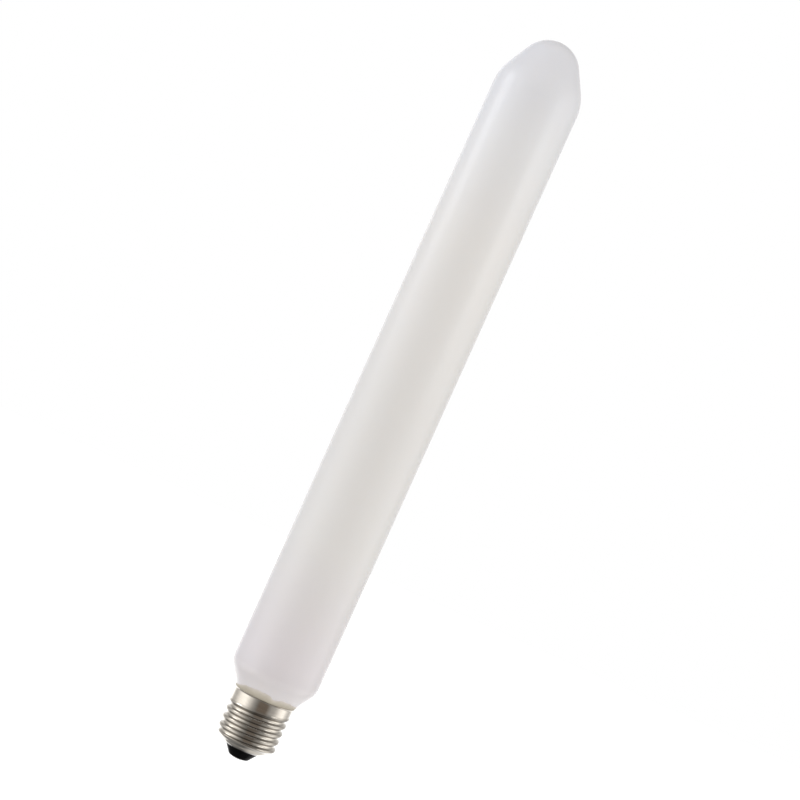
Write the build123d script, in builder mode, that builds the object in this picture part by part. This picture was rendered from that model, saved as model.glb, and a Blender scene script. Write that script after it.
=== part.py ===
from build123d import *
import math
import os

os.makedirs("parts", exist_ok=True)

# Tubular opal bulb with an E27 screw cap, in millimetres.
# +Z runs from the cap to the tip, and the origin is on the end face of the centre contact.

# Glass bulb
overall_length = 326.0
tube_diameter = 38.0
tip_radius = 13.2
nose_half_angle = 28.5
nose_blend_radius = 20.0
shoulder_half_angle = 33.0
shoulder_blend_radius = 8.0
neck_blend_radius = 3.0
neck_depth = 13.8
neck_end_radius = 4.0

# Screw shell, with its lengths one above the other from the contact's face to the rim
bowl_edge_height = 4.3
bowl_height = 3.86
thread_length = 13.64
collar_length = 6.0
lip_height = 0.9
sheet_thickness = 0.3
bowl_edge_diameter = 14.4
thread_diameter = 26.2
thread_depth = 1.05
thread_pitch = 3.629
thread_foot_fade = 1.0
thread_head_fade = 1.6
crest_drop_at_x = 2.2
collar_step = 0.275
lip_flare = 0.6
lip_bend_radius = 0.8
sections_per_turn = 12
cut_over = 1.0

# Capping cement, with the room that it takes between the shell and the glass
neck_clearance = 1.15
shoulder_clearance = 0.34
cement_lift = 0.4
bead_height = 2.9
bead_edge = 0.1

# Insulator and contact
contact_diameter = 5.6
contact_proud = 0.35
contact_edge_radius = 0.15
contact_stem_diameter = 2.0
contact_stem_over = 0.8
insulator_land = 1.4
insulator_corner_radius = 1.2
plug_height = 2.7

# Heights and radii of the cap that several pieces share.
# The collar's lower face leans by a quarter pitch to each side of its mean height.
bowl_top_height = bowl_edge_height + bowl_height
collar_height = bowl_top_height + thread_length
collar_lean = thread_pitch / 4
rim_height = collar_height + collar_length
bowl_edge = bowl_edge_diameter / 2
thread_mean = (thread_diameter - thread_depth) / 2
collar_radius = thread_mean + collar_step
rim_radius = collar_radius + lip_flare
collar_inside = collar_radius - sheet_thickness
rim_inside = rim_radius - sheet_thickness
stem_radius = contact_stem_diameter / 2

# Glass bulb: ball tip, conical nose, straight tube, conical shoulder and a neck inside the cap.
# The shoulder passes the rim, and the neck the collar, with room for the cement.
# The bulb is sealed and opal, so it is one filled solid.
tube_radius = tube_diameter / 2
nose_slope = math.radians(nose_half_angle)
tip_centre = overall_length - tip_radius
nose_top_radius = tip_radius * math.cos(nose_slope)
nose_top_height = tip_centre + tip_radius * math.sin(nose_slope)
nose_foot_height = nose_top_height - (tube_radius - nose_top_radius) / math.tan(nose_slope)
shoulder_slope = math.radians(shoulder_half_angle)
shoulder_at_rim = rim_inside - shoulder_clearance
shoulder_height = rim_height + (tube_radius - shoulder_at_rim) / math.tan(shoulder_slope)
neck_radius = collar_inside - neck_clearance
neck_height = rim_height - (shoulder_at_rim - neck_radius) / math.tan(shoulder_slope)
neck_end_height = rim_height - neck_depth

with BuildPart() as glass_bulb:
    with BuildSketch(Plane.XZ):
        with BuildLine():
            CenterArc((0, tip_centre), tip_radius, nose_half_angle, 90 - nose_half_angle)
            FilletPolyline(
                (nose_top_radius, nose_top_height),
                (tube_radius, nose_foot_height),
                (tube_radius, shoulder_height),
                (neck_radius, neck_height),
                (neck_radius, neck_end_height),
                (0, neck_end_height),
                radius=[nose_blend_radius, shoulder_blend_radius, neck_blend_radius, neck_end_radius],
            )
            Line((0, neck_end_height), (0, overall_length))
        make_face()
    revolve(axis=Axis.Z)


# The bowl is part of a ball about a centre on the axis, which passes through its edge and its top
def bowl_ball(inset):
    edge_height = bowl_edge_height + inset
    top_radius = thread_mean - inset
    middle = (bowl_top_height + edge_height) / 2
    centre = middle + (top_radius**2 - bowl_edge**2) / (2 * (bowl_top_height - edge_height))
    return centre, math.hypot(bowl_edge, centre - edge_height)


# Collar and flared lip, cut off below by the leaning plane along which the thread's top groove runs.
# The inset moves the form in by a sheet's thickness, and the overlap takes it past the rim.
def collar_form(inset, over):
    lip_slope = lip_flare / lip_height
    with BuildPart() as form:
        with BuildSketch(Plane.XZ):
            with BuildLine():
                FilletPolyline(
                    (0, collar_height - collar_lean),
                    (collar_radius - inset, collar_height - collar_lean),
                    (collar_radius - inset, rim_height - lip_height),
                    (rim_radius - inset + lip_slope * over, rim_height + over),
                    (0, rim_height + over),
                    radius=[0, lip_bend_radius, 0],
                )
                Line((0, rim_height + over), (0, collar_height - collar_lean))
            make_face()
        revolve(axis=Axis.Z)
        lower_plane = Plane(origin=(0, 0, collar_height + inset), z_dir=(-collar_lean, 0, collar_radius))
        split(bisect_by=lower_plane, keep=Keep.TOP)
    return form.part


# The cap's outside, or its inside when it is moved in by the sheet's thickness.
# A rolled thread's section across the axis is a circle set off centre, which turns once a pitch.
# The circle comes back to the centre at the top of the bowl and, at the other end, within the collar.
def cap_form(inset, over):
    edge_height = bowl_edge_height + inset
    ball_radius = bowl_ball(inset)[1]
    top_radius = thread_mean - inset
    climb_end = thread_length + collar_lean + thread_head_fade
    steps = math.ceil(sections_per_turn * climb_end / thread_pitch)
    with BuildPart() as form:
        with BuildSketch(Plane.XZ):
            with BuildLine():
                RadiusArc((bowl_edge, edge_height), (top_radius, bowl_top_height), -ball_radius)
                Polyline(
                    (top_radius, bowl_top_height),
                    (0, bowl_top_height),
                    (0, edge_height),
                    (bowl_edge, edge_height),
                )
            make_face()
        revolve(axis=Axis.Z)
        for step in range(steps + 1):
            climb = climb_end * step / steps
            crest_angle = math.tau * (climb - thread_length + crest_drop_at_x) / thread_pitch
            depth_share = min(1, climb / thread_foot_fade, (climb_end - climb) / thread_head_fade)
            throw = thread_depth / 2 * depth_share
            with BuildSketch(Plane.XY.offset(bowl_top_height + climb)):
                with Locations((throw * math.cos(crest_angle), throw * math.sin(crest_angle))):
                    Circle(top_radius)
        loft()
        add(collar_form(inset, over))
    return form.part


# Screw shell: the cap's outside less its inside, open at the rim and at the bottom
cap_outside = cap_form(0, 0)
cap_inside = cap_form(sheet_thickness, cut_over)

with BuildPart() as screw_shell:
    add(cap_outside)
    add(cap_inside, mode=Mode.SUBTRACT)
    Cylinder(bowl_edge, bowl_top_height, align=(Align.CENTER, Align.CENTER, Align.MIN), mode=Mode.SUBTRACT)

# Capping cement: fills the gap from the shell's inside to the glass, with a thin bead above the rim
cement_foot = collar_height + collar_lean + sheet_thickness + cement_lift
bead_top = rim_height + bead_height
bead_radius = shoulder_at_rim + bead_height * math.tan(shoulder_slope) + bead_edge

with BuildPart() as capping_cement:
    with BuildSketch(Plane.XZ):
        with BuildLine():
            FilletPolyline(
                (0, cement_foot),
                (collar_inside, cement_foot),
                (collar_inside, rim_height - lip_height),
                (rim_inside, rim_height),
                (bead_radius, bead_top),
                (0, bead_top),
                radius=[0, lip_bend_radius, 0, 0],
            )
            Line((0, bead_top), (0, cement_foot))
        make_face()
    revolve(axis=Axis.Z)
    add(glass_bulb.part, mode=Mode.SUBTRACT)

# Insulator: a plug that fills the bottom of the bowl and stands out of it as a cone
insulator_end = contact_diameter / 2 + insulator_land
insulator_top_height = bowl_edge_height + plug_height
inner_edge_height = bowl_edge_height + sheet_thickness
inner_centre, inner_ball = bowl_ball(sheet_thickness)
plug_radius = math.sqrt(inner_ball**2 - (inner_centre - insulator_top_height) ** 2)

with BuildPart() as insulator:
    with BuildSketch(Plane.XZ):
        with BuildLine():
            FilletPolyline(
                (stem_radius, contact_proud),
                (insulator_end, contact_proud),
                (bowl_edge, bowl_edge_height),
                (bowl_edge, inner_edge_height),
                radius=[insulator_corner_radius, 0],
            )
            RadiusArc((bowl_edge, inner_edge_height), (plug_radius, insulator_top_height), -inner_ball)
            Polyline(
                (plug_radius, insulator_top_height),
                (stem_radius, insulator_top_height),
                (stem_radius, contact_proud),
            )
        make_face()
    revolve(axis=Axis.Z)

# Centre contact: a flat rivet head on the insulator's end, with its stem through the middle
contact_stem_end = insulator_top_height + contact_stem_over

with BuildPart() as centre_contact:
    with BuildSketch(Plane.XZ):
        with BuildLine():
            FilletPolyline(
                (0, 0),
                (contact_diameter / 2, 0),
                (contact_diameter / 2, contact_proud),
                (stem_radius, contact_proud),
                (stem_radius, contact_stem_end),
                (0, contact_stem_end),
                radius=[contact_edge_radius, 0, 0, 0],
            )
            Line((0, contact_stem_end), (0, 0))
        make_face()
    revolve(axis=Axis.Z)

glass_bulb.part.label = "glass_bulb"
screw_shell.part.label = "screw_shell"
capping_cement.part.label = "capping_cement"
insulator.part.label = "insulator"
centre_contact.part.label = "centre_contact"

export_step(glass_bulb.part, "parts/glass_bulb.step")
export_step(screw_shell.part, "parts/screw_shell.step")
export_step(capping_cement.part, "parts/capping_cement.step")
export_step(insulator.part, "parts/insulator.step")
export_step(centre_contact.part, "parts/centre_contact.step")
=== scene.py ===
import math

import bpy
import numpy as np
from mathutils import Matrix


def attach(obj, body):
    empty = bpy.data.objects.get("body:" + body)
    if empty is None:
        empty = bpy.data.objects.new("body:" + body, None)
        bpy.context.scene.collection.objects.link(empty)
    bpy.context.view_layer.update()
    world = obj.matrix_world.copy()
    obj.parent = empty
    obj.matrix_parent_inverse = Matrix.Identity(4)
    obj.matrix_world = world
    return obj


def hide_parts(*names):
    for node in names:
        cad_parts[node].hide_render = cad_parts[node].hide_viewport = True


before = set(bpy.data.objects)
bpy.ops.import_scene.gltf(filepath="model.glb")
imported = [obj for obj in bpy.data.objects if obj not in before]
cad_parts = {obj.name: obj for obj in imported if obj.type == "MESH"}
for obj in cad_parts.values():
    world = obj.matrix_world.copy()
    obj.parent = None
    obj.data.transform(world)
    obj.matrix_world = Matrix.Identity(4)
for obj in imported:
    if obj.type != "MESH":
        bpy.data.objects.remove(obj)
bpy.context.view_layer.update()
mm = 0.001
print("frame loaded:", ", ".join(sorted(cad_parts)))


# Mesh helpers: sizes of the pieces are in millimetres, and spunMesh brings them to metres

# A corner rounded by an arc of the given radius, tangent to both legs of the corner.
# The arc's angle is the turn between the legs, and its points are evenly spaced in that angle.
def roundedCorner(before, corner, after, radius, steps):
    before, corner, after = (np.array(p, float) for p in (before, corner, after))
    legIn = (before - corner) / np.linalg.norm(before - corner)
    legOut = (after - corner) / np.linalg.norm(after - corner)
    half = math.acos(np.clip(legIn @ legOut, -1, 1)) / 2
    middle = (legIn + legOut) / np.linalg.norm(legIn + legOut)
    centre = corner + middle * radius / math.sin(half)
    first = corner + legIn * radius / math.tan(half) - centre
    last = corner + legOut * radius / math.tan(half) - centre
    turn = math.atan2(first[0] * last[1] - first[1] * last[0], first @ last)
    angles = np.linspace(0, turn, steps)[:, None]
    side = np.array([-first[1], first[0]])
    return centre + np.cos(angles) * first + np.sin(angles) * side


# Extra points on the long straight runs of a profile, so that no step is longer than the given one:
# each run is cut into as many equal parts as that takes
def filledRuns(points, longest):
    lengths = np.linalg.norm(np.diff(points, axis=0), axis=1)
    along = np.concatenate([[0], np.cumsum(lengths)])
    parts = np.maximum(1, np.ceil(lengths / longest)).astype(int)
    runs = [np.linspace(a, b, n, endpoint=False) for a, b, n in zip(along, along[1:], parts)]
    wanted = np.append(np.concatenate(runs), along[-1])
    return np.stack([np.interp(wanted, along, side) for side in points.T], axis=1)


# A surface round the axis: row i, column j lies at radius[i, j] and height[i, j], at angle 2 pi j / columns.
# Columns wrap round. Rows wrap too on a closed ring of section, or end in a single point on the axis.
def spunMesh(name, radius, height, wrapRows=False):
    rows, columns = radius.shape
    angle = np.linspace(0, math.tau, columns, endpoint=False)[None, :]
    grid = np.stack([radius * np.cos(angle), radius * np.sin(angle), height], axis=-1)
    points = grid.reshape(-1, 3) * mm
    here = np.arange(columns)
    after = np.roll(here, -1)
    low = np.arange(rows if wrapRows else rows - 1)[:, None] * columns
    high = (low + columns) % (rows * columns)
    quads = np.stack([low + here, low + after, high + after, high + here], axis=-1)
    faces = quads.reshape(-1, 4).tolist()
    if not wrapRows:
        poles = np.array([[0, 0, height[0].mean()], [0, 0, height[-1].mean()]]) * mm
        foot = len(points)
        top = (rows - 1) * columns
        points = np.concatenate([points, poles])
        faces += np.stack([np.full(columns, foot), after, here], axis=-1).tolist()
        faces += np.stack([top + here, top + after, np.full(columns, foot + 1)], axis=-1).tolist()
    mesh = bpy.data.meshes.new(name)
    mesh.from_pydata(points.tolist(), [], faces)
    mesh.polygons.foreach_set("use_smooth", np.ones(len(mesh.polygons), bool))
    mesh.update()
    piece = bpy.data.objects.new(name, mesh)
    bpy.context.scene.collection.objects.link(piece)
    return piece


# A turned profile: the same radius and height all the way round
def turnedMesh(name, profile, columns):
    radius = np.repeat(profile[:, :1], columns, axis=1)
    height = np.repeat(profile[:, 1:], columns, axis=1)
    return spunMesh(name, radius, height)


# One number for each point of a grid, kept in the mesh for its material to read
def keepNumbers(piece, name, numbers):
    piece.data.attributes.new(name, "FLOAT", "POINT").data.foreach_set("value", numbers.ravel())


# The greater of two lengths, rounded over a band where they cross:
# the band times the logarithm of the sum of the exponentials of both lengths over the band
def softGreater(a, b, band):
    return band * np.logaddexp(a / band, b / band)


# The lesser of two lengths, rounded in the same way: minus the greater of both with their signs turned
def softLesser(a, b, band):
    return -softGreater(-a, -b, band)


def place(piece, node, material):
    piece.data.materials.append(material)
    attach(piece, "root")
    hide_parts(node)
    print("piece:", piece.name, len(piece.data.polygons), "faces")


# Material helpers

noiseSpan = (0.3, 0.7)  # where most of a noise's values lie


def newMaterial(name):
    material = bpy.data.materials.new(name)
    material.use_nodes = True
    nodes = material.node_tree.nodes
    return material, nodes, material.node_tree.links, nodes["Principled BSDF"]


def addNode(nodes, kind, settings=None, **values):
    node = nodes.new(kind)
    for key, value in (settings or {}).items():
        setattr(node, key, value)
    for key, value in values.items():
        node.inputs[key.replace("_", " ")].default_value = value
    return node


def grey(value):
    return (value, value, value)


# Colours along a source that runs from 0 to 1. A plain number among the stops stands for a grey.
def ramp(nodes, links, source, stops, blend="LINEAR"):
    node = nodes.new("ShaderNodeValToRGB")
    node.color_ramp.interpolation = blend
    elements = node.color_ramp.elements
    while len(elements) < len(stops):
        elements.new(0.5)
    for element, (position, shade) in zip(elements, stops):
        colour = shade if isinstance(shade, tuple) else grey(shade)
        element.position = position
        element.color = (*colour, 1)
    links.new(source, node.inputs["Fac"])
    return node.outputs["Color"]


# Position split into x, y and z, from Object coordinates or from a card's UV
def splitPlace(nodes, links, kind):
    coords = nodes.new("ShaderNodeTexCoord")
    split = nodes.new("ShaderNodeSeparateXYZ")
    links.new(coords.outputs[kind], split.inputs["Vector"])
    return split.outputs


# Noise on Object coordinates, stretched by the scale of each axis
def stretchedNoise(nodes, links, scale, detail):
    coords = nodes.new("ShaderNodeTexCoord")
    mapping = addNode(nodes, "ShaderNodeMapping", Scale=scale)
    links.new(coords.outputs["Object"], mapping.inputs["Vector"])
    noise = addNode(nodes, "ShaderNodeTexNoise", Scale=1, Detail=detail, Roughness=0.5)
    links.new(mapping.outputs["Vector"], noise.inputs["Vector"])
    return noise.outputs["Fac"]


def mapped(nodes, links, source, fromSpan, toSpan):
    node = nodes.new("ShaderNodeMapRange")
    for socket, value in zip(node.inputs[1:5], (*fromSpan, *toSpan)):
        socket.default_value = value
    links.new(source, node.inputs["Value"])
    return node.outputs["Result"]


# A Math node, whose two inputs are each a socket or a plain number
def worked(nodes, links, operation, first, second):
    node = nodes.new("ShaderNodeMath")
    node.operation = operation
    for socket, value in zip(node.inputs, (first, second)):
        if isinstance(value, bpy.types.NodeSocket):
            links.new(value, socket)
        else:
            socket.default_value = value
    return node.outputs["Value"]


def multiplied(nodes, links, first, second):
    node = nodes.new("ShaderNodeMix")
    node.data_type = "RGBA"
    node.blend_type = "MULTIPLY"
    node.inputs["Factor"].default_value = 1
    links.new(first, node.inputs["A"])
    links.new(second, node.inputs["B"])
    return node.outputs["Result"]


def bumped(nodes, links, shader, height, strength, distance):
    bump = addNode(nodes, "ShaderNodeBump", Strength=strength, Distance=distance)
    links.new(height, bump.inputs["Height"])
    links.new(bump.outputs["Normal"], shader.inputs["Normal"])


# Opal glass bulb

# Tints stand at shares of the length, with painted light among them: the shoulder is painted paler, the
# glass just above it and the tip carry painted shade, and the middle is warm where the filaments show
# through.
# The skin is the clear gloss over the white glass.
glassLook = {
    "length": 326.0,
    "tubeRadius": 19.0,
    "tipRadius": 13.2,
    "noseAngle": 28.5,
    "noseBlend": 20.0,
    "shoulderHeight": 37.33,
    "shoulderAngle": 33.0,
    "shoulderBlend": 8.0,
    "neckRadius": 11.4,
    "neckBlend": 3.0,
    "neckEnd": 14.0,
    "neckEndRadius": 4.0,
    "poleRadius": 0.5,
    "arcSteps": {"neckEnd": 8, "neck": 10, "shoulder": 20, "nose": 24, "tip": 24},
    "columns": 192,
    "longestStep": 5.0,
    "tintsAndPaintedLight": [
        (0.096, (0.86, 0.80, 0.77)),
        (0.111, (0.79, 0.735, 0.71)),
        (0.121, (0.715, 0.662, 0.646)),
        (0.14, (0.735, 0.68, 0.665)),
        (0.30, (0.77, 0.735, 0.685)),
        (0.72, (0.77, 0.735, 0.685)),
        (0.86, (0.755, 0.735, 0.71)),
        (0.97, (0.71, 0.695, 0.697)),
    ],
    "cloudScale": (22, 22, 9),
    "cloudShades": [(0.2, 0.985), (0.8, 1)],
    "cloudSpan": (0.1, 0.9),
    "roughness": (0.31, 0.37),
    "refraction": 1.5,
    "skin": 0.42,
    "skinRoughness": 0.07,
    "milkiness": 0.25,
    "milkDepth": 0.004,
    "milkColour": (1, 0.9, 0.8),
}


# From the neck's end to the tip: flat end, round corner, neck, hollow blend, cone, round blend, tube,
# round blend, cone, and a ball whose radius meets the cone square
def glassProfile(look):
    nose = math.radians(look["noseAngle"])
    shoulder = math.radians(look["shoulderAngle"])
    tipCentre = look["length"] - look["tipRadius"]
    noseTop = (look["tipRadius"] * math.cos(nose), tipCentre + look["tipRadius"] * math.sin(nose))
    noseFoot = (look["tubeRadius"], noseTop[1] - (look["tubeRadius"] - noseTop[0]) / math.tan(nose))
    shoulderTop = (look["tubeRadius"], look["shoulderHeight"])
    neckHeight = look["shoulderHeight"] - (look["tubeRadius"] - look["neckRadius"]) / math.tan(shoulder)
    neckTop = (look["neckRadius"], neckHeight)
    neckFoot = (look["neckRadius"], look["neckEnd"])
    steps = look["arcSteps"]
    ball = np.linspace(nose, math.pi / 2, steps["tip"])[:-1, None]
    return np.concatenate([
        [[look["poleRadius"], look["neckEnd"]]],
        roundedCorner((0, look["neckEnd"]), neckFoot, neckTop, look["neckEndRadius"], steps["neckEnd"]),
        roundedCorner(neckFoot, neckTop, shoulderTop, look["neckBlend"], steps["neck"]),
        roundedCorner(neckTop, shoulderTop, noseFoot, look["shoulderBlend"], steps["shoulder"]),
        roundedCorner(shoulderTop, noseFoot, noseTop, look["noseBlend"], steps["nose"]),
        np.concatenate([np.cos(ball), np.sin(ball)], axis=1) * look["tipRadius"] + (0, tipCentre),
    ])


def opalMaterial(look):
    material, nodes, links, shader = newMaterial("opalGlass")
    up = splitPlace(nodes, links, "Object")["Z"]
    along = mapped(nodes, links, up, (0, look["length"] * mm), (0, 1))
    # Tints along the length, with painted light: a paler shoulder, painted shade above it and at the tip
    tint = ramp(nodes, links, along, look["tintsAndPaintedLight"])
    cloud = stretchedNoise(nodes, links, look["cloudScale"], detail=1)
    mottle = ramp(nodes, links, cloud, look["cloudShades"])
    links.new(multiplied(nodes, links, tint, mottle), shader.inputs["Base Color"])
    links.new(mapped(nodes, links, cloud, look["cloudSpan"], look["roughness"]), shader.inputs["Roughness"])
    shader.inputs["IOR"].default_value = look["refraction"]
    shader.inputs["Coat Weight"].default_value = look["skin"]
    shader.inputs["Coat Roughness"].default_value = look["skinRoughness"]
    shader.inputs["Subsurface Weight"].default_value = look["milkiness"]
    shader.inputs["Subsurface Radius"].default_value = look["milkColour"]
    shader.inputs["Subsurface Scale"].default_value = look["milkDepth"]
    return material


glassRun = filledRuns(glassProfile(glassLook), glassLook["longestStep"])
opalBulb = turnedMesh("opalBulb", glassRun, glassLook["columns"])
place(opalBulb, "glass_bulb", opalMaterial(glassLook))


# Screw shell

# The shades are shares of the plate's colour that painted shade takes away: painted dark lines below and
# above each crest, a dulled crest, a painted shadow line on the collar's ledge and painted shade above the
# bottom edge.
# The shade on the ledge is full for a while about its middle and then falls, in shares of the ledge's
# height. The edge's bulge tells how far in the bottom edge stands at shares of the way from the inside of
# the sheet to its outside.
shellLook = {
    "sheet": 0.3,
    "rimHeight": 27.8,
    "rimRadius": 13.45,
    "lipHeight": 0.9,
    "collarRadius": 12.85,
    "collarHeight": 21.8,
    "ledge": 0.5,
    "crestRadius": 13.1,
    "rootRadius": 12.05,
    "pitch": 3.629,
    "crestAtX": 19.6,
    "fade": 1.2,
    "threadFoot": 5.2,
    "bowlTop": 8.16,
    "bowlEdge": 4.3,
    "bowlEdgeRadius": 7.2,
    "rounding": 0.07,
    "edgeBulge": [(0.12, -0.05), (0.5, -0.08), (0.88, -0.05)],
    "columns": 216,
    "rowsPerTurn": 36,
    "belowShade": 0.64,
    "aboveShade": 0.2,
    "crestShade": 0.2,
    "lineSharpness": 4,
    "crestSharpness": 2,
    "ledgeShade": 0.62,
    "ledgeMiddle": 0.3,
    "ledgeFull": 1.4,
    "ledgeFall": 1.6,
    "footShade": 0.7,
    "footRun": 1.5,
    "patchScale": (300, 300, 500),
    "patchShades": [(0.3, (0.62, 0.57, 0.50)), (0.6, (0.66, 0.61, 0.54))],
    "streakScale": (25, 25, 1500),
    "streakShades": [(0.3, 0.93), (0.7, 1)],
    "roughness": (0.07, 0.17),
    "rollScale": (40, 40, 2600),
    "rollStrength": 0.05,
    "rollDepth": 0.0001,
}


# Turns of the thread from the crest down to a place: whole numbers lie on crests
def threadClimb(look, angle, height):
    return angle / math.tau - (height - look["crestAtX"]) / look["pitch"]


# The collar's lower edge: its mean height plus a quarter pitch times the cosine of the angle,
# so that the groove below runs along it at the front
def collarFootHeight(look, angle):
    return look["collarHeight"] + look["pitch"] / 4 * np.cos(angle)


# Share of the thread's depth that is left as it fades out, evenly with height, in the collar and on the bowl
def threadShare(look, angle, height):
    head = collarFootHeight(look, angle) + look["ledge"] + look["fade"]
    fadeOut = np.clip((head - height) / look["fade"], 0, 1)
    fadeIn = np.clip((height - look["threadFoot"]) / (look["bowlTop"] - look["threadFoot"]), 0, 1)
    return fadeIn * fadeOut


# Radius of the shell's outside at each angle and height.
# Thread: crest and root are equal arcs that meet a quarter pitch from each crest. With quarter the quarter
# pitch and half the half depth, the arcs' radius is (quarter^2 + half^2) / (2 half), and a place at run from
# the middle of its arc stands half - arc + sqrt(arc^2 - run^2) out of the mean circle, or as far inside it.
# Bowl: a ball through the bottom edge and the mean circle, on which the thread fades out.
# Collar: a cylinder on a straight slope up from the root, with a quarter cosine flare for the lip.
def shellRadius(look, angle, height):
    mean = (look["crestRadius"] + look["rootRadius"]) / 2
    half = (look["crestRadius"] - look["rootRadius"]) / 2
    quarter = look["pitch"] / 4
    arc = (quarter**2 + half**2) / (2 * half)
    climb = threadClimb(look, angle, height)
    fromCrest = np.abs((climb + 0.5) % 1 - 0.5) * look["pitch"]
    run = np.minimum(fromCrest, 2 * quarter - fromCrest)
    wave = np.sign(quarter - fromCrest) * (half - arc + np.sqrt(arc**2 - run**2))
    rise = look["bowlTop"] - look["bowlEdge"]
    middle = (look["bowlTop"] + look["bowlEdge"]) / 2
    centre = middle + (mean**2 - look["bowlEdgeRadius"] ** 2) / (2 * rise)
    ballRadius = math.hypot(look["bowlEdgeRadius"], centre - look["bowlEdge"])
    ball = np.sqrt(ballRadius**2 - np.minimum(height - centre, 0) ** 2)
    core = softLesser(mean + 0 * height, ball, look["rounding"])
    threaded = core + wave * threadShare(look, angle, height)
    slope = (look["collarRadius"] - look["rootRadius"]) / look["ledge"]
    ledge = look["rootRadius"] + slope * (height - collarFootHeight(look, angle))
    lip = np.clip((height - look["rimHeight"] + look["lipHeight"]) / look["lipHeight"], 0, 1)
    flare = (look["rimRadius"] - look["collarRadius"]) * (1 - np.cos(lip * math.pi / 2))
    collar = softLesser(ledge, look["collarRadius"] + 0 * height, look["rounding"]) + flare
    return softGreater(threaded, collar, look["rounding"])


# Painted shade, as the share of the plate's colour that is left: a painted dark line below each crest, a
# softer one above it and a dulled crest, each a power of the sine or cosine of the thread's turn, a painted
# shadow line on the collar's ledge, and painted shade that falls evenly with height above the bottom edge
def shellPaintedShade(look, angle, height):
    turn = math.tau * threadClimb(look, angle, height)
    below = np.maximum(np.sin(turn), 0) ** look["lineSharpness"]
    above = np.maximum(-np.sin(turn), 0) ** look["lineSharpness"]
    crest = np.maximum(np.cos(turn), 0) ** look["crestSharpness"]
    loss = look["belowShade"] * below + look["aboveShade"] * above + look["crestShade"] * crest
    ledgeUp = (height - collarFootHeight(look, angle)) / look["ledge"]
    fromMiddle = np.abs(ledgeUp - look["ledgeMiddle"])
    ledgeShade = look["ledgeShade"] * np.clip(look["ledgeFull"] - look["ledgeFall"] * fromMiddle, 0, 1)
    share = threadShare(look, angle, height) * (ledgeUp < look["ledgeMiddle"])
    footShade = look["footShade"] * np.clip(1 - (height - look["bowlEdge"]) / look["footRun"], 0, 1)
    return 1 - np.maximum(np.maximum(loss * share, ledgeShade), footShade)


# The sheet: the outside from the bottom edge to the rim, then the inside back down, which is the outside
# moved in by the sheet's thickness along its own slope, and a rounded bottom edge between the two
def shellMesh(look):
    rows = int((look["rimHeight"] - look["bowlEdge"]) / look["pitch"] * look["rowsPerTurn"])
    height = np.linspace(look["bowlEdge"], look["rimHeight"], rows)[:, None]
    angle = np.linspace(0, math.tau, look["columns"], endpoint=False)[None, :]
    radius = shellRadius(look, angle, height)
    high = np.repeat(height, look["columns"], axis=1)
    lean = np.gradient(radius, height[:, 0], axis=0)
    size = np.sqrt(1 + lean**2)
    innerRadius = (radius - look["sheet"] / size)[::-2]
    innerHigh = np.minimum((high + look["sheet"] * lean / size)[::-2], look["rimHeight"])
    across, bulge = np.array(look["edgeBulge"]).T[:, :, None]
    bottomRadius = innerRadius[-1] + (radius[0] - innerRadius[-1]) * across + bulge
    bottomHigh = innerHigh[-1] + (high[0] - innerHigh[-1]) * across
    radii = np.concatenate([radius, innerRadius, bottomRadius])
    heights = np.concatenate([high, innerHigh, bottomHigh])
    shell = spunMesh("nickelShell", radii, heights, wrapRows=True)
    # Painted shade on the outside rows; the inside and the bottom edge keep the plate's full colour
    paintedShade = np.ones(radii.shape)
    paintedShade[:rows] = shellPaintedShade(look, angle, height)
    keepNumbers(shell, "paintedShade", paintedShade)
    return shell


def nickelMaterial(look):
    material, nodes, links, shader = newMaterial("nickelPlate")
    patch = stretchedNoise(nodes, links, look["patchScale"], detail=4)
    plate = ramp(nodes, links, patch, look["patchShades"])
    # The plate's colour times the painted shade kept in the mesh: dark lines on the thread, the ledge and
    # the bowl's foot
    paintedShadeNode = addNode(nodes, "ShaderNodeAttribute", {"attribute_name": "paintedShade"})
    shadedPlate = multiplied(nodes, links, plate, paintedShadeNode.outputs["Color"])
    streak = stretchedNoise(nodes, links, look["streakScale"], detail=3)
    shade = ramp(nodes, links, streak, look["streakShades"])
    links.new(multiplied(nodes, links, shadedPlate, shade), shader.inputs["Base Color"])
    links.new(mapped(nodes, links, streak, noiseSpan, look["roughness"]), shader.inputs["Roughness"])
    roll = stretchedNoise(nodes, links, look["rollScale"], detail=3)
    bumped(nodes, links, shader, roll, look["rollStrength"], look["rollDepth"])
    shader.inputs["Metallic"].default_value = 1
    return material


place(shellMesh(shellLook), "screw_shell", nickelMaterial(shellLook))


# Capping cement

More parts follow.
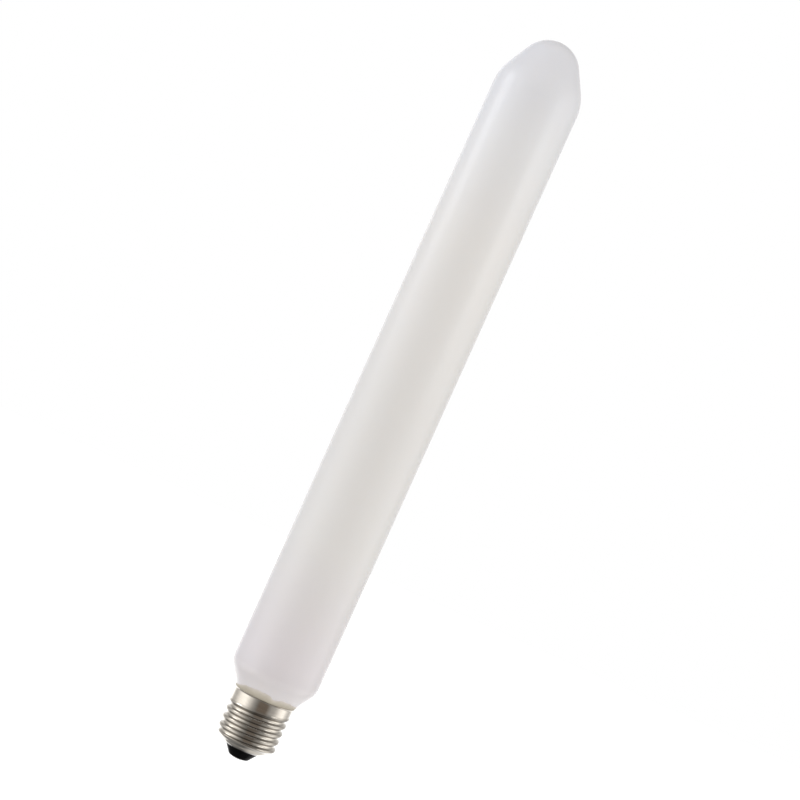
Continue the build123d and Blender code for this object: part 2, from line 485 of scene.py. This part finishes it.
# Bead heights are above the rim, at angles in degrees from +x. Each wave of the ragged edge has its count
# round the bulb, its start in radians and its share. Shades run from the rim to the bead's thin edge:
# painted shade darkens the cement towards the rim, and the thin edge is painted paler where the glass shows
# through.
cementLook = {
    "bottom": 23.41,
    "beadHeights": [
        (-150, 1.3), (-128, 2.9), (-100, 3.6), (-84, 3.4), (-76, 2.3), (-68, 2.4), (-60, 3.3), (-42, 2.9),
        (-20, 1.9), (30, 2.3), (90, 2.6), (140, 1.6), (180, 0.8),
    ],
    "beadThickness": 0.1,
    "ragged": 0.14,
    "raggedWaves": [(17, 2.1, 0.5), (29, 4.0, 0.4), (61, 0.0, 0.3)],
    "footFall": 1.5,
    "edgeFall": 4,
    "edgeTuck": 0.02,
    "backFoot": 26.5,
    "backTuck": 0.05,
    "rows": {"lip": 8, "bead": 14, "back": 8},
    "columns": 240,
    "shades": [
        (0, (0.48, 0.42, 0.32)),
        (0.5, (0.585, 0.525, 0.41)),
        (0.8, (0.67, 0.605, 0.51)),
        (1, (0.75, 0.675, 0.61)),
    ],
    "lumpScale": (220, 220, 220),
    "lumpShades": [(0.35, (0.94, 0.93, 0.92)), (0.65, (1.04, 1.04, 1.05))],
    "grainScale": (1500, 1500, 1500),
    "roughness": (0.5, 0.7),
    "grainStrength": 0.25,
    "grainDepth": 0.0002,
}


# Radius of the glass's shoulder cone at a height
def shoulderCone(glass, height):
    slope = math.tan(math.radians(glass["shoulderAngle"]))
    return glass["tubeRadius"] - (glass["shoulderHeight"] - height) * slope


# The ring between shell and glass: its outside follows the shell, its inside the glass cone and neck.
# The bead's top edge runs straight between the heights given round it, with a sum of sines of the angle
# added. Up the bead, its thickness on the cone falls from the rim's by a power of the way left to the edge,
# and the edge itself is rounded by a root of one less a power of the way up. The back runs down the cone
# from the bead's edge, tucked a little into the glass.
def cementMesh(look, shell, glass):
    columns, rows = look["columns"], look["rows"]
    rimHeight = shell["rimHeight"]
    collarInside = shell["collarRadius"] - shell["sheet"]
    rimInside = shell["rimRadius"] - shell["sheet"]
    angle = np.linspace(0, math.tau, columns, endpoint=False)
    stops, heights = np.array(look["beadHeights"]).T
    bead = np.interp(np.degrees(angle), stops, heights, period=360)
    ragged = sum(share * np.sin(count * angle + start) for count, start, share in look["raggedWaves"])
    top = rimHeight + bead + look["ragged"] * ragged
    up = np.linspace(0, 1, rows["bead"])[:, None]
    beadHigh = rimHeight + (top - rimHeight)[None, :] * up
    foot = (rimInside - shoulderCone(glass, rimHeight)) * (1 - up) ** look["footFall"]
    edge = look["beadThickness"] * np.sqrt(1 - up ** look["edgeFall"])
    beadRadius = shoulderCone(glass, beadHigh) + (foot + edge) - look["edgeTuck"] * up
    lip = np.linspace(0, 1, rows["lip"])[:-1, None]
    lipHigh = np.repeat(rimHeight - shell["lipHeight"] * (1 - lip), columns, axis=1)
    lipRadius = collarInside + (rimInside - collarInside) * (1 - np.cos(lip * math.pi / 2)) + 0 * lipHigh
    floorHigh = np.full((2, columns), look["bottom"])
    floorRadius = np.repeat([[glass["neckRadius"]], [collarInside]], columns, axis=1)
    down = np.linspace(1, 0, rows["back"])[1:, None]
    backHigh = down * (top[None, :] - look["backFoot"]) + look["backFoot"]
    backRadius = np.maximum(shoulderCone(glass, backHigh) - look["backTuck"], glass["neckRadius"])
    radii = np.concatenate([floorRadius, lipRadius, beadRadius, backRadius])
    heights = np.concatenate([floorHigh, lipHigh, beadHigh, backHigh])
    cement = spunMesh("cementBead", radii, heights, wrapRows=True)
    beadStart = len(floorHigh) + len(lipHigh)
    share = np.zeros(radii.shape)
    share[beadStart:beadStart + len(up)] = up
    keepNumbers(cement, "share", share)
    return cement


def cementMaterial(look):
    material, nodes, links, shader = newMaterial("creamCement")
    share = addNode(nodes, "ShaderNodeAttribute", {"attribute_name": "share"})
    # Painted shade up the bead: darker at the rim, paler at the thin edge
    shade = ramp(nodes, links, share.outputs["Fac"], look["shades"])
    lump = stretchedNoise(nodes, links, look["lumpScale"], detail=4)
    mottle = ramp(nodes, links, lump, look["lumpShades"])
    links.new(multiplied(nodes, links, shade, mottle), shader.inputs["Base Color"])
    grain = stretchedNoise(nodes, links, look["grainScale"], detail=4)
    links.new(mapped(nodes, links, grain, noiseSpan, look["roughness"]), shader.inputs["Roughness"])
    bumped(nodes, links, shader, grain, look["grainStrength"], look["grainDepth"])
    return material


place(cementMesh(cementLook, shellLook, glassLook), "capping_cement", cementMaterial(cementLook))


# Insulator

# The edge's band is how far in and down from the shell's edge its lower side lies
insulatorLook = {
    "endHeight": 0.35,
    "endRadius": 4.2,
    "corner": 1.2,
    "cornerSteps": 12,
    "edgeBand": (0.15, 0.225),
    "edgeRise": 0.35,
    "plugRadius": 10.4,
    "topHeight": 7.0,
    "poleRadius": 0.6,
    "landRadius": 2.0,
    "longestStep": 0.5,
    "columns": 144,
    "swirlScale": (350, 350, 700),
    "swirlShades": [(0.35, (0.002, 0.002, 0.002)), (0.75, (0.005, 0.0045, 0.0045))],
    "roughness": (0.12, 0.24),
    "gloss": 0.03,
    "waveScale": (500, 500, 500),
    "waveStrength": 0.12,
    "waveDepth": 0.0003,
}


# End face, round corner, straight cone up to the shell's edge with a narrow band below it,
# then the plug inside the bowl
def insulatorProfile(look, shell):
    edgeRadius, edgeHeight = shell["bowlEdgeRadius"], shell["bowlEdge"]
    end = (look["endRadius"], look["endHeight"])
    edge = (edgeRadius, edgeHeight)
    bandIn, bandDown = look["edgeBand"]
    return np.concatenate([
        [[look["poleRadius"], look["endHeight"]], [look["landRadius"], look["endHeight"]]],
        roundedCorner((0, look["endHeight"]), end, edge, look["corner"], look["cornerSteps"]),
        [[edgeRadius - bandIn, edgeHeight - bandDown], edge, [edgeRadius, edgeHeight + look["edgeRise"]]],
        [[look["plugRadius"], look["topHeight"]], [look["poleRadius"], look["topHeight"]]],
    ])


def blackMaterial(look):
    material, nodes, links, shader = newMaterial("blackGlass")
    swirl = stretchedNoise(nodes, links, look["swirlScale"], detail=3)
    links.new(ramp(nodes, links, swirl, look["swirlShades"]), shader.inputs["Base Color"])
    links.new(mapped(nodes, links, swirl, noiseSpan, look["roughness"]), shader.inputs["Roughness"])
    wave = stretchedNoise(nodes, links, look["waveScale"], detail=2)
    bumped(nodes, links, shader, wave, look["waveStrength"], look["waveDepth"])
    shader.inputs["Specular IOR Level"].default_value = look["gloss"]
    return material


insulatorRun = filledRuns(insulatorProfile(insulatorLook, shellLook), insulatorLook["longestStep"])
blackInsulator = turnedMesh("blackInsulator", insulatorRun, insulatorLook["columns"])
place(blackInsulator, "insulator", blackMaterial(insulatorLook))


# Centre contact

contactLook = {
    "radius": 2.8,
    "proud": insulatorLook["endHeight"],
    "edge": 0.15,
    "edgeSteps": 7,
    "poleRadius": 0.3,
    "faceRadius": 1.2,
    "grooveRadius": 2.3,
    "grooveWidth": 0.25,
    "grooveDepth": 0.06,
    "grooveSteps": 9,
    "stemRadius": 1.0,
    "stemTop": 7.8,
    "columns": 96,
    "stainScale": (600, 600, 600),
    "stainShades": [(0.35, (0.46, 0.43, 0.38)), (0.6, (0.60, 0.57, 0.52))],
    "roughness": (0.46, 0.31),
    "scratchScale": (4000, 350, 350),
    "scratchStrength": 0.15,
    "scratchDepth": 0.0001,
}


# Flat face, a shallow groove near its edge whose depth is a squared sine across it, round edge,
# back of the head and the stem
def contactProfile(look):
    ring = np.linspace(0, 1, look["grooveSteps"])[:, None]
    grooveRadius = look["grooveRadius"] - look["grooveWidth"] + look["grooveWidth"] * ring
    grooveHigh = look["grooveDepth"] * np.sin(ring * math.pi) ** 2
    corner = (look["radius"], 0)
    back = (look["radius"], look["proud"])
    return np.concatenate([
        [[look["poleRadius"], 0], [look["faceRadius"], 0]],
        np.concatenate([grooveRadius, grooveHigh], axis=1),
        roundedCorner((0, 0), corner, back, look["edge"], look["edgeSteps"]),
        [back, [look["stemRadius"], look["proud"]]],
        [[look["stemRadius"], look["stemTop"]], [look["poleRadius"], look["stemTop"]]],
    ])


def contactMaterial(look):
    material, nodes, links, shader = newMaterial("contactMetal")
    stain = stretchedNoise(nodes, links, look["stainScale"], detail=4)
    links.new(ramp(nodes, links, stain, look["stainShades"]), shader.inputs["Base Color"])
    links.new(mapped(nodes, links, stain, noiseSpan, look["roughness"]), shader.inputs["Roughness"])
    scratch = stretchedNoise(nodes, links, look["scratchScale"], detail=3)
    bumped(nodes, links, shader, scratch, look["scratchStrength"], look["scratchDepth"])
    shader.inputs["Metallic"].default_value = 1
    return material


contactRivet = turnedMesh("contactRivet", contactProfile(contactLook), contactLook["columns"])
place(contactRivet, "centre_contact", contactMaterial(contactLook))


# Stage: a pale floor below the held bulb, soft boxes at both sides, and a drum with three cards
# that only reflections see. All sizes are in metres.

stageLook = {
    "floorDrop": 0.22,
    "floorReach": 4,
    "floorColour": (0.80, 0.80, 0.80),
    "floorRoughness": 0.9,
    "floorGlow": 0.42,
    "fill": 0.98,
}

# Angles go round the bulb from the camera, in degrees, positive to the right, here and for the drum.
# Each curve gives a card's brightness as a share of its light: across it, and up from its foot.
boxLook = {
    "leftBox": {
        "angle": -86, "distance": 0.62, "width": 0.7, "low": -0.21, "high": 0.66,
        "light": 2.5, "tint": (0.925, 0.98, 1.115),
        "across": [(0, 0.3), (0.3, 1), (0.7, 1), (1, 0.3)],
        "up": [(0, 0.26), (0.25, 0.24), (0.6, 1), (1, 1)],
    },
    "rightBox": {
        "angle": 46, "distance": 0.66, "width": 0.7, "low": -0.21, "high": 0.66,
        "light": 2.0, "tint": (0.955, 0.98, 1.05),
        "across": [(0, 0.3), (0.3, 1), (0.7, 1), (1, 0.3)],
        "up": [(0, 0.38), (0.25, 0.46), (0.55, 1), (0.7, 0.9), (1, 0.8)],
    },
}

# The drum's brightness runs from the ceiling's level to the level at the angle, by the share at the height.
# The front span has a shade of its own. The strips make the glass's bright stripes.
drumLook = {
    "radius": 1.2,
    "low": -2.0,
    "high": 2.0,
    "columns": 96,
    "light": 1.8,
    "ceiling": 0.2,
    "frontShade": (0.19, 0.16, 0.137),
    "frontSpan": (-8, 24),
    "levels": [
        (-180, 1.55), (-152, 1.4), (-134, 0.66), (-116, 0.74), (-103, 1.1), (-92, 1.45), (-81, 1.62),
        (-63, 1.7), (-46, 1.06), (-30, 0.5), (-16, 0.25), (39, 0.44), (55, 0.58), (63, 0.75), (72, 1.1),
        (81, 1.44), (92, 1.7), (103, 1.64), (116, 1.05), (134, 0.72), (152, 1.1), (180, 1.55),
    ],
    "shares": [
        (-2.0, 0.2), (-1.25, 0.3), (-0.9, 0.8), (-0.5, 1.0), (-0.13, 1.0), (-0.03, 0.74), (0.14, 0.68),
        (0.6, 0.65), (0.8, 0.54), (1.3, 0.1), (2.0, 0.0),
    ],
    "strips": {
        "leftStrip": {
            "angle": -87, "distance": 1.0, "width": 0.6, "low": 0.16, "high": 0.75, "light": 2.9,
            "across": [(0, 0.45), (0.25, 1), (0.75, 1), (1, 0.45)],
            "up": [(0, 0.45), (0.45, 1), (1, 1)],
        },
        "rightStrip": {
            "angle": 69, "distance": 1.0, "width": 0.7, "low": 0.16, "high": 0.75, "light": 2.3,
            "across": [(0, 0.4), (0.3, 1), (0.7, 1), (1, 0.5)],
            "up": [(0, 0.6), (0.35, 1), (0.55, 0.7), (1, 0.5)],
        },
    },
    "backFloor": {
        "halfWidth": 0.9, "near": 0.32, "far": 1.1, "height": -0.8, "light": 1.0,
        "across": [(0, 0.4), (0.35, 0.34), (0.5, 0.19), (0.62, 0.85), (1, 1.1)],
        "up": [(0, 1), (1, 1)],
    },
}


# One quad with its own UV square, from the lower left corner round to the upper left
def addCard(name, corners, material):
    mesh = bpy.data.meshes.new(name)
    mesh.from_pydata([tuple(map(float, c)) for c in corners], [], [(0, 1, 2, 3)])
    layer = mesh.uv_layers.new(name="UVMap")
    layer.data.foreach_set("uv", [0, 0, 1, 0, 1, 1, 0, 1])
    mesh.materials.append(material)
    card = bpy.data.objects.new(name, mesh)
    bpy.context.scene.collection.objects.link(card)
    return card


# Corners of an upright card that faces the bulb's axis
def uprightCorners(card):
    turn = math.radians(card["angle"])
    outward = np.array([math.sin(turn), -math.cos(turn), 0]) * card["distance"]
    across = np.array([math.cos(turn), math.sin(turn), 0]) * card["width"] / 2
    low, high = np.array([0, 0, card["low"]]), np.array([0, 0, card["high"]])
    return [outward - across + low, outward + across + low, outward + across + high, outward - across + high]


# Corners of a level card, from the camera's side to the far side
def levelCorners(halfWidth, near, far, height):
    flat = [(-halfWidth, near), (halfWidth, near), (halfWidth, far), (-halfWidth, far)]
    return [(x, y, height) for x, y in flat]


# Light from a card: its brightness is one curve across the width times another up the height
def glowMaterial(name, card):
    material, nodes, links, shader = newMaterial(name)
    nodes.remove(shader)
    tint = card.get("tint", grey(1))
    tinted = [(position, tuple(level * part for part in tint)) for position, level in card["across"]]
    spot = splitPlace(nodes, links, "UV")
    across = ramp(nodes, links, spot["X"], tinted, "EASE")
    up = ramp(nodes, links, spot["Y"], card["up"], "EASE")
    glow = addNode(nodes, "ShaderNodeEmission", Strength=card["light"])
    links.new(multiplied(nodes, links, across, up), glow.inputs["Color"])
    links.new(glow.outputs["Emission"], nodes["Material Output"].inputs["Surface"])
    return material


def addSoftBox(name, box):
    card = addCard(name, uprightCorners(box), glowMaterial(name, box))
    card.visible_camera = False
    card.visible_glossy = False


# Angle round from the camera: the arc tangent of x over -y, brought to 0..1 over the whole turn
def drumMaterial(look):
    material, nodes, links, shader = newMaterial("reflectionDrum")
    nodes.remove(shader)
    spot = splitPlace(nodes, links, "Object")
    forward = worked(nodes, links, "MULTIPLY", spot["Y"], -1)
    turn = worked(nodes, links, "ARCTAN2", spot["X"], forward)
    shades = [(angle, look["frontShade"]) for angle in look["frontSpan"]]
    shades += [(angle, grey(level)) for angle, level in look["levels"]]
    stops = []
    for angle, shade in sorted(shades):
        stops.append(((angle + 180) / 360, tuple(part / look["light"] for part in shade)))
    level = ramp(nodes, links, mapped(nodes, links, turn, (-math.pi, math.pi), (0, 1)), stops)
    tall = look["high"] - look["low"]
    shares = [((height - look["low"]) / tall, share) for height, share in look["shares"]]
    up = mapped(nodes, links, spot["Z"], (look["low"], look["high"]), (0, 1))
    mix = nodes.new("ShaderNodeMix")
    mix.data_type = "RGBA"
    mix.inputs["A"].default_value = (*grey(look["ceiling"] / look["light"]), 1)
    links.new(ramp(nodes, links, up, shares), mix.inputs["Factor"])
    links.new(level, mix.inputs["B"])
    glow = addNode(nodes, "ShaderNodeEmission", Strength=look["light"])
    links.new(mix.outputs["Result"], glow.inputs["Color"])
    links.new(glow.outputs["Emission"], nodes["Material Output"].inputs["Surface"])
    return material


def onlyReflected(card):
    card.visible_camera = False
    card.visible_diffuse = False
    card.visible_shadow = False


# The drum is a closed cylinder, with the strips and the back floor's card inside it
def addDrum(look):
    rim = np.full((2, look["columns"]), look["radius"] / mm)
    height = np.repeat([[look["low"] / mm], [look["high"] / mm]], look["columns"], axis=1)
    drum = spunMesh("reflectionDrum", rim, height)
    drum.data.materials.append(drumMaterial(look))
    onlyReflected(drum)
    for name, strip in look["strips"].items():
        onlyReflected(addCard(name, uprightCorners(strip), glowMaterial(name, strip)))
    back = look["backFloor"]
    corners = levelCorners(back["halfWidth"], back["near"], back["far"], back["height"])
    onlyReflected(addCard("backFloor", corners, glowMaterial("backFloor", back)))


# Plain pale paint, with a glow that lifts it to white for the camera
def floorMaterial(look):
    material, nodes, links, shader = newMaterial("paleFloor")
    shader.inputs["Base Color"].default_value = (*look["floorColour"], 1)
    shader.inputs["Roughness"].default_value = look["floorRoughness"]
    shader.inputs["Specular IOR Level"].default_value = 0
    shader.inputs["Emission Color"].default_value = (1, 1, 1, 1)
    rays = nodes.new("ShaderNodeLightPath")
    lift = worked(nodes, links, "MULTIPLY", rays.outputs["Is Camera Ray"], look["floorGlow"])
    links.new(lift, shader.inputs["Emission Strength"])
    return material


# The floor takes the bulb's shadow. Reflections see the drum in its place.
def addFloor(look):
    reach = look["floorReach"]
    corners = levelCorners(reach, -reach, reach, -look["floorDrop"])
    floor = addCard("floor", corners, floorMaterial(look))
    floor.visible_glossy = False


# White for the camera, in reflections and through glass; a plain fill for everything else
def studioWorld(look):
    world = bpy.data.worlds.new("studio")
    world.use_nodes = True
    bpy.context.scene.world = world
    nodes, links = world.node_tree.nodes, world.node_tree.links
    fill = nodes["Background"]
    fill.inputs["Color"].default_value = (1, 1, 1, 1)
    fill.inputs["Strength"].default_value = look["fill"]
    white = addNode(nodes, "ShaderNodeBackground", Color=(1, 1, 1, 1), Strength=1.0)
    rays = nodes.new("ShaderNodeLightPath").outputs
    seen = worked(nodes, links, "MAXIMUM", rays["Is Camera Ray"], rays["Is Glossy Ray"])
    seenThrough = worked(nodes, links, "MAXIMUM", seen, rays["Is Transmission Ray"])
    mix = nodes.new("ShaderNodeMixShader")
    links.new(seenThrough, mix.inputs["Fac"])
    links.new(fill.outputs["Background"], mix.inputs[1])
    links.new(white.outputs["Background"], mix.inputs[2])
    links.new(mix.outputs["Shader"], nodes["World Output"].inputs["Surface"])


addFloor(stageLook)
for name, box in boxLook.items():
    addSoftBox(name, box)
addDrum(drumLook)
studioWorld(stageLook)
bpy.context.scene.view_settings.view_transform = "Standard"
print("stage: floor, soft boxes, reflection drum and its cards, white surround")


# Camera: level, square to the bulb's axis, rolled so that the bulb leans to the right

cameraLook = {
    "lens": 99.0,
    "sensor": 36,
    "distance": 0.9148,
    "height": 0.1633,
    "across": 0.0003,
    "roll": 24.31,
    "reach": 20,
}


def addCamera(look):
    camera = bpy.data.cameras.new("photoCamera")
    camera.lens = look["lens"]
    camera.sensor_width = look["sensor"]
    camera.clip_end = look["reach"]
    holder = bpy.data.objects.new("photoCamera", camera)
    roll = math.radians(look["roll"])
    right = (math.cos(roll), 0, math.sin(roll))
    upward = (-math.sin(roll), 0, math.cos(roll))
    axes = Matrix((right, upward, (0, -1, 0))).transposed().to_4x4()
    axes.translation = (look["across"], -look["distance"], look["height"])
    holder.matrix_world = axes
    bpy.context.scene.collection.objects.link(holder)
    bpy.context.scene.camera = holder


addCamera(cameraLook)
print("camera set")
